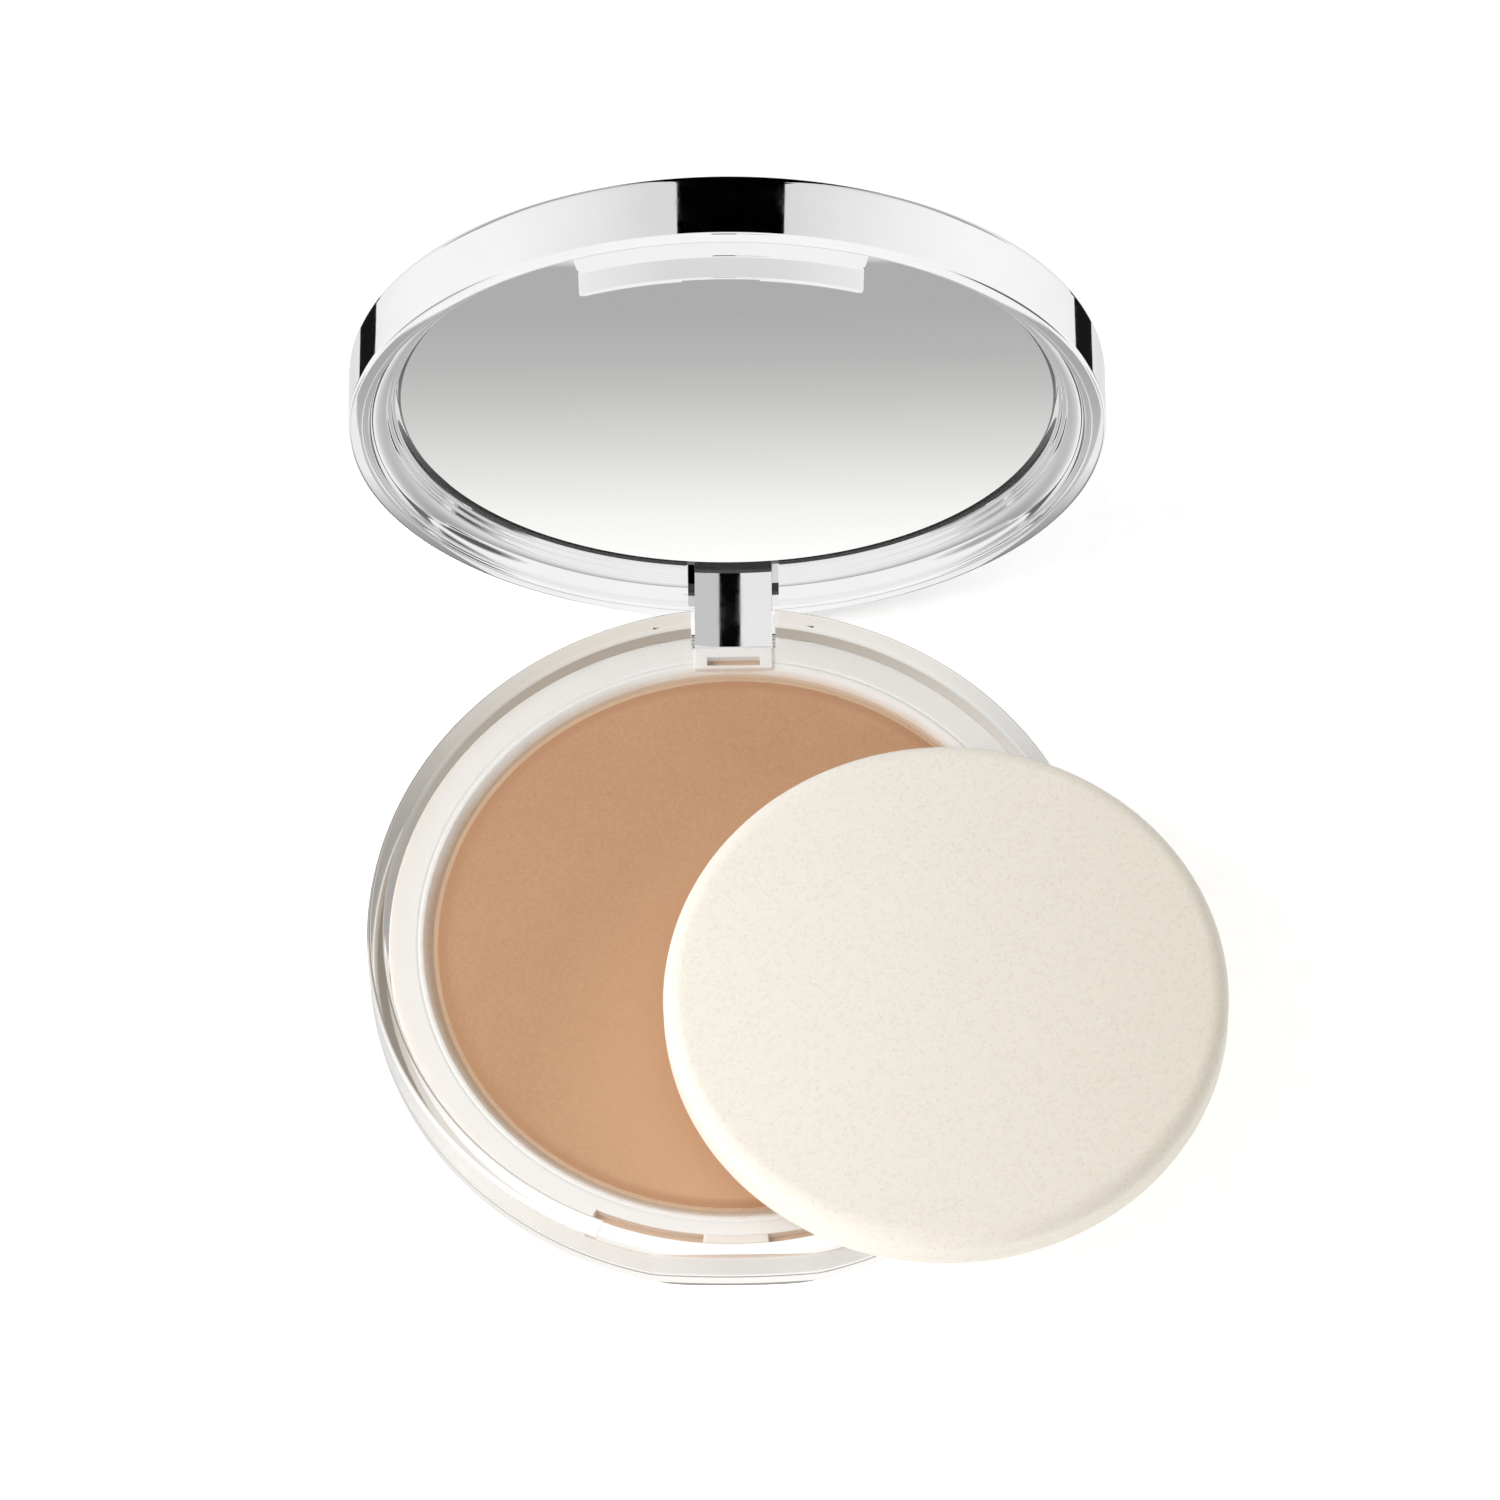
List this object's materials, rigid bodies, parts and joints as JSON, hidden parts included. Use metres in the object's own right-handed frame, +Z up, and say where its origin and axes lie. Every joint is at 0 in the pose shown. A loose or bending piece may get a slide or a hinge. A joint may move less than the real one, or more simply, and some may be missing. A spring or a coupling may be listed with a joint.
{
  "type": "powder compact",
  "caption": "Round hinged compact: clear base with a pressed powder pan, mirror-bright lid on a rear hinge arm with a front catch tab, and a foam applicator sponge.",
  "frame": {"origin": "centre of the flat underside of the base", "axes": "+Z up out of the open base, +Y towards the hinge, -Y towards the thumb flat, +X to the right seen from the front"},
  "size_m": [0.0872, 0.0854, 0.0772],
  "materials": {
    "clear_shell": "clear injection-moulded styrene, polished",
    "white_tray": "translucent white, lightly frosted",
    "pan_metal": "drawn, satin",
    "powder": "pressed powder, matt",
    "adhesive": "pressure-sensitive glue pad",
    "pin_steel": "drawn wire",
    "metallised_shell": "vacuum-metallised, mirror bright",
    "metallised_bezel": "vacuum-metallised, bright",
    "mirror_glass": "silvered glass",
    "foam": "fine open-cell latex foam"
  },
  "bodies": {
    "base": {"base_shell": "clear_shell", "pan_frame": "white_tray", "powder_pan": "pan_metal", "powder_cake": "powder", "pan_adhesive": "adhesive", "hinge_pin": "pin_steel"},
    "lid": {"lid_shell": "metallised_shell", "mirror_frame": "metallised_bezel", "mirror": "mirror_glass", "mirror_adhesive": "adhesive"},
    "sponge": {"sponge": "foam"}
  },
  "joints": [
    {"name": "lid_hinge", "type": "hinge", "parent": "base", "child": "lid", "pos_m": [0, 0.03525, 0.0042], "axis": [1, 0, 0], "range_deg": [-8, 90]},
    {"name": "sponge_slide", "type": "slide", "parent": "base", "child": "sponge", "axis": [0.8974, -0.4413, 0], "range_m": [-0.006, 0.0515]}
  ],
  "couplings": [
    {"joint": "sponge_slide", "follows": "lid_hinge", "m_per_rad": 0.0324}
  ]
}
